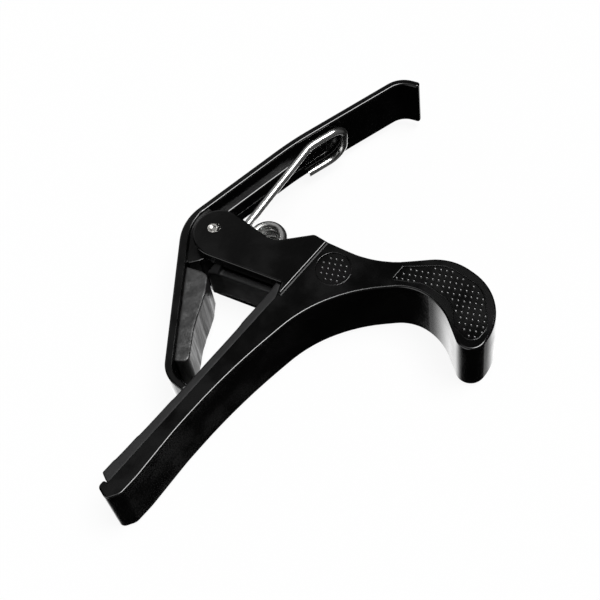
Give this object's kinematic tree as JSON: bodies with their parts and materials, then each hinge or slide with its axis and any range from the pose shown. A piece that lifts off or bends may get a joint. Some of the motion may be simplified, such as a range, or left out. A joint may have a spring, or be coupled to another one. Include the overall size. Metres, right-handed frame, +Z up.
{
  "type": "guitar capo",
  "caption": "Sprung clamp for a guitar neck: a handle casting with a straight rubber-faced bar, and a pivoting lever with a padded jaw that a torsion spring closes.",
  "frame": {"origin": "middle of the bottom of the bounding box, where the capo rests lying on its side", "axes": "+X along the fret bar from its tip to the handle, +Y from the fret bar to the pivot and the lever, +Z up across the width of the castings"},
  "size_m": [0.1284, 0.0768, 0.0221],
  "materials": {
    "black_enamel": "gloss black enamel on a die casting",
    "pin_steel": "bare peened end",
    "bar_rubber": "matte dark grey",
    "neck_rubber": "matte mottled grey, lighter on the gripping face",
    "spring_wire": "bright plated wire"
  },
  "bodies": {
    "handle_body": {"handle_casting": "black_enamel", "bar_pad": "bar_rubber", "pivot_pin": "pin_steel", "spring_coil": "spring_wire"},
    "lever": {"lever_casting": "black_enamel", "neck_pad": "neck_rubber"},
    "spring_wire_arm": {"spring_arm": "spring_wire"}
  },
  "joints": [
    {"name": "lever_hinge", "type": "hinge", "parent": "handle_body", "child": "lever", "pos_m": [0.00118, 0.03049, 0.01105], "axis": [0, 0, 1], "range_deg": [-34, 0], "stiffness_Nm_per_rad": 0.8, "springref_deg": 20.05},
    {"name": "spring_arm_turn", "type": "hinge", "parent": "handle_body", "child": "spring_wire_arm", "pos_m": [0.00893, 0.02089, 0.01105], "axis": [0, 0, 1], "range_deg": [-51.5, 0]}
  ],
  "couplings": [
    {"joint": "spring_arm_turn", "follows": "lever_hinge", "ratio": 1.5}
  ]
}
